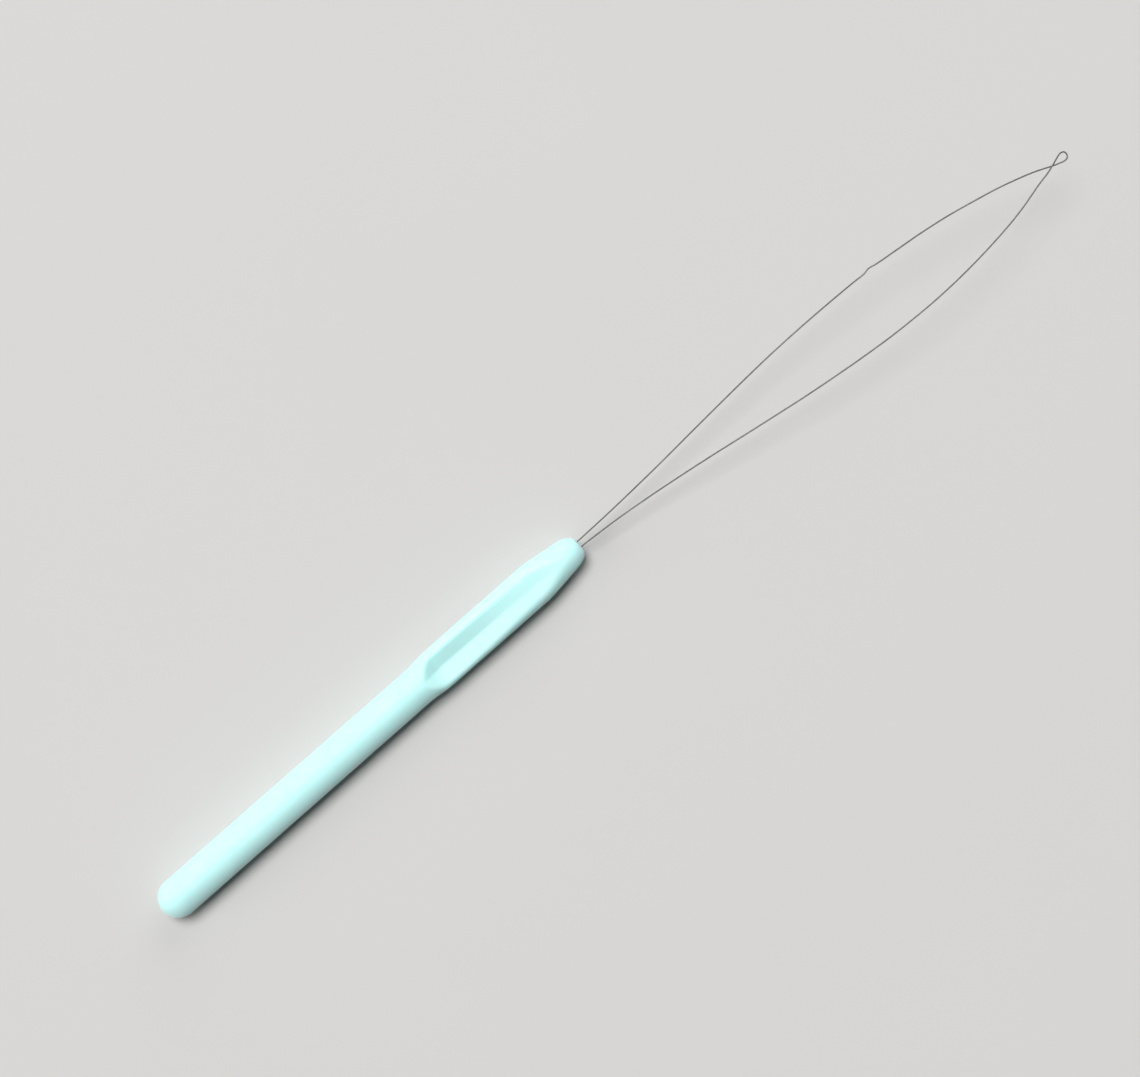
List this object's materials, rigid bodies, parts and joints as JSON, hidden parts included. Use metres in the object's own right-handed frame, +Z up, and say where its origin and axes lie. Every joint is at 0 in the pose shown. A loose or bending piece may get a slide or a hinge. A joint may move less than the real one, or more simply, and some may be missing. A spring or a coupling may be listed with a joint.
{
  "type": "bead threader",
  "caption": "Slim moulded handle with opposed thumb scoops and a long springy wire loop ending in a small eye, for drawing thread or hair through beads.",
  "frame": {"origin": "on the table plane, under the middle of the handle's length, at the centre of its lowest flat", "axes": "+X along the handle from its butt towards the wire's eye, +Y to the handle's left, +Z up from the table"},
  "size_m": [0.2425, 0.0158, 0.0166],
  "materials": {
    "handle_plastic": "satin mint green moulded plastic",
    "adhesive": "set clear adhesive, glossy",
    "wire": "drawn spring steel, slightly dull"
  },
  "bodies": {
    "handle_unit": {"handle": "handle_plastic", "adhesive_plug": "adhesive", "wire_tail_left": "wire", "wire_tail_right": "wire"},
    "loop_root": {"wire_root_left": "wire", "wire_root_right": "wire"},
    "loop_neck": {"wire_neck_left": "wire", "wire_neck_right": "wire"},
    "near_leg_left": {"wire_near_leg_left": "wire"},
    "near_leg_right": {"wire_near_leg_right": "wire"},
    "far_leg_left": {"wire_far_leg_left": "wire"},
    "far_leg_right": {"wire_far_leg_right": "wire"},
    "eye": {"wire_eye": "wire"}
  },
  "joints": [
    {"name": "loop_bend", "type": "hinge", "parent": "handle_unit", "child": "loop_root", "pos_m": [0.058, 0, 0.0042], "axis": [0, -1, 0], "range_deg": [-7, 30], "stiffness_Nm_per_rad": 0.0038, "springref_deg": 1.42},
    {"name": "loop_sway", "type": "hinge", "parent": "loop_root", "child": "loop_neck", "pos_m": [0.06248, 0, 0.00463], "axis": [-0.0958, 0, 0.9954], "range_deg": [-10, 10], "stiffness_Nm_per_rad": 0.006},
    {"name": "loop_squeeze_left", "type": "hinge", "parent": "loop_neck", "child": "near_leg_left", "pos_m": [0.06746, 0.00088, 0.00511], "axis": [0.0958, 0, -0.9954], "range_deg": [-4, 5], "stiffness_Nm_per_rad": 0.04},
    {"name": "loop_squeeze_right", "type": "hinge", "parent": "loop_neck", "child": "near_leg_right", "pos_m": [0.06746, -0.00137, 0.00511], "axis": [-0.0958, 0, 0.9954], "range_deg": [-4.05, 5.05]},
    {"name": "waist_left", "type": "hinge", "parent": "near_leg_left", "child": "far_leg_left", "pos_m": [0.13514, 0.00303, 0.01163], "axis": [-0.0958, 0, 0.9954], "range_deg": [-10.55, 13.15]},
    {"name": "waist_right", "type": "hinge", "parent": "near_leg_right", "child": "far_leg_right", "pos_m": [0.13514, -0.01057, 0.01163], "axis": [0.0958, 0, -0.9954], "range_deg": [-10.55, 13.15]},
    {"name": "eye_turn", "type": "hinge", "parent": "far_leg_left", "child": "eye", "pos_m": [0.17695, -0.00433, 0.01565], "axis": [0.0958, 0, -0.9954], "range_deg": [-6.55, 8.15]}
  ],
  "couplings": [
    {"joint": "loop_squeeze_right", "follows": "loop_squeeze_left", "ratio": 1},
    {"joint": "waist_left", "follows": "loop_squeeze_left", "ratio": 2.619},
    {"joint": "waist_right", "follows": "loop_squeeze_left", "ratio": 2.619},
    {"joint": "eye_turn", "follows": "loop_squeeze_left", "ratio": 1.619}
  ]
}
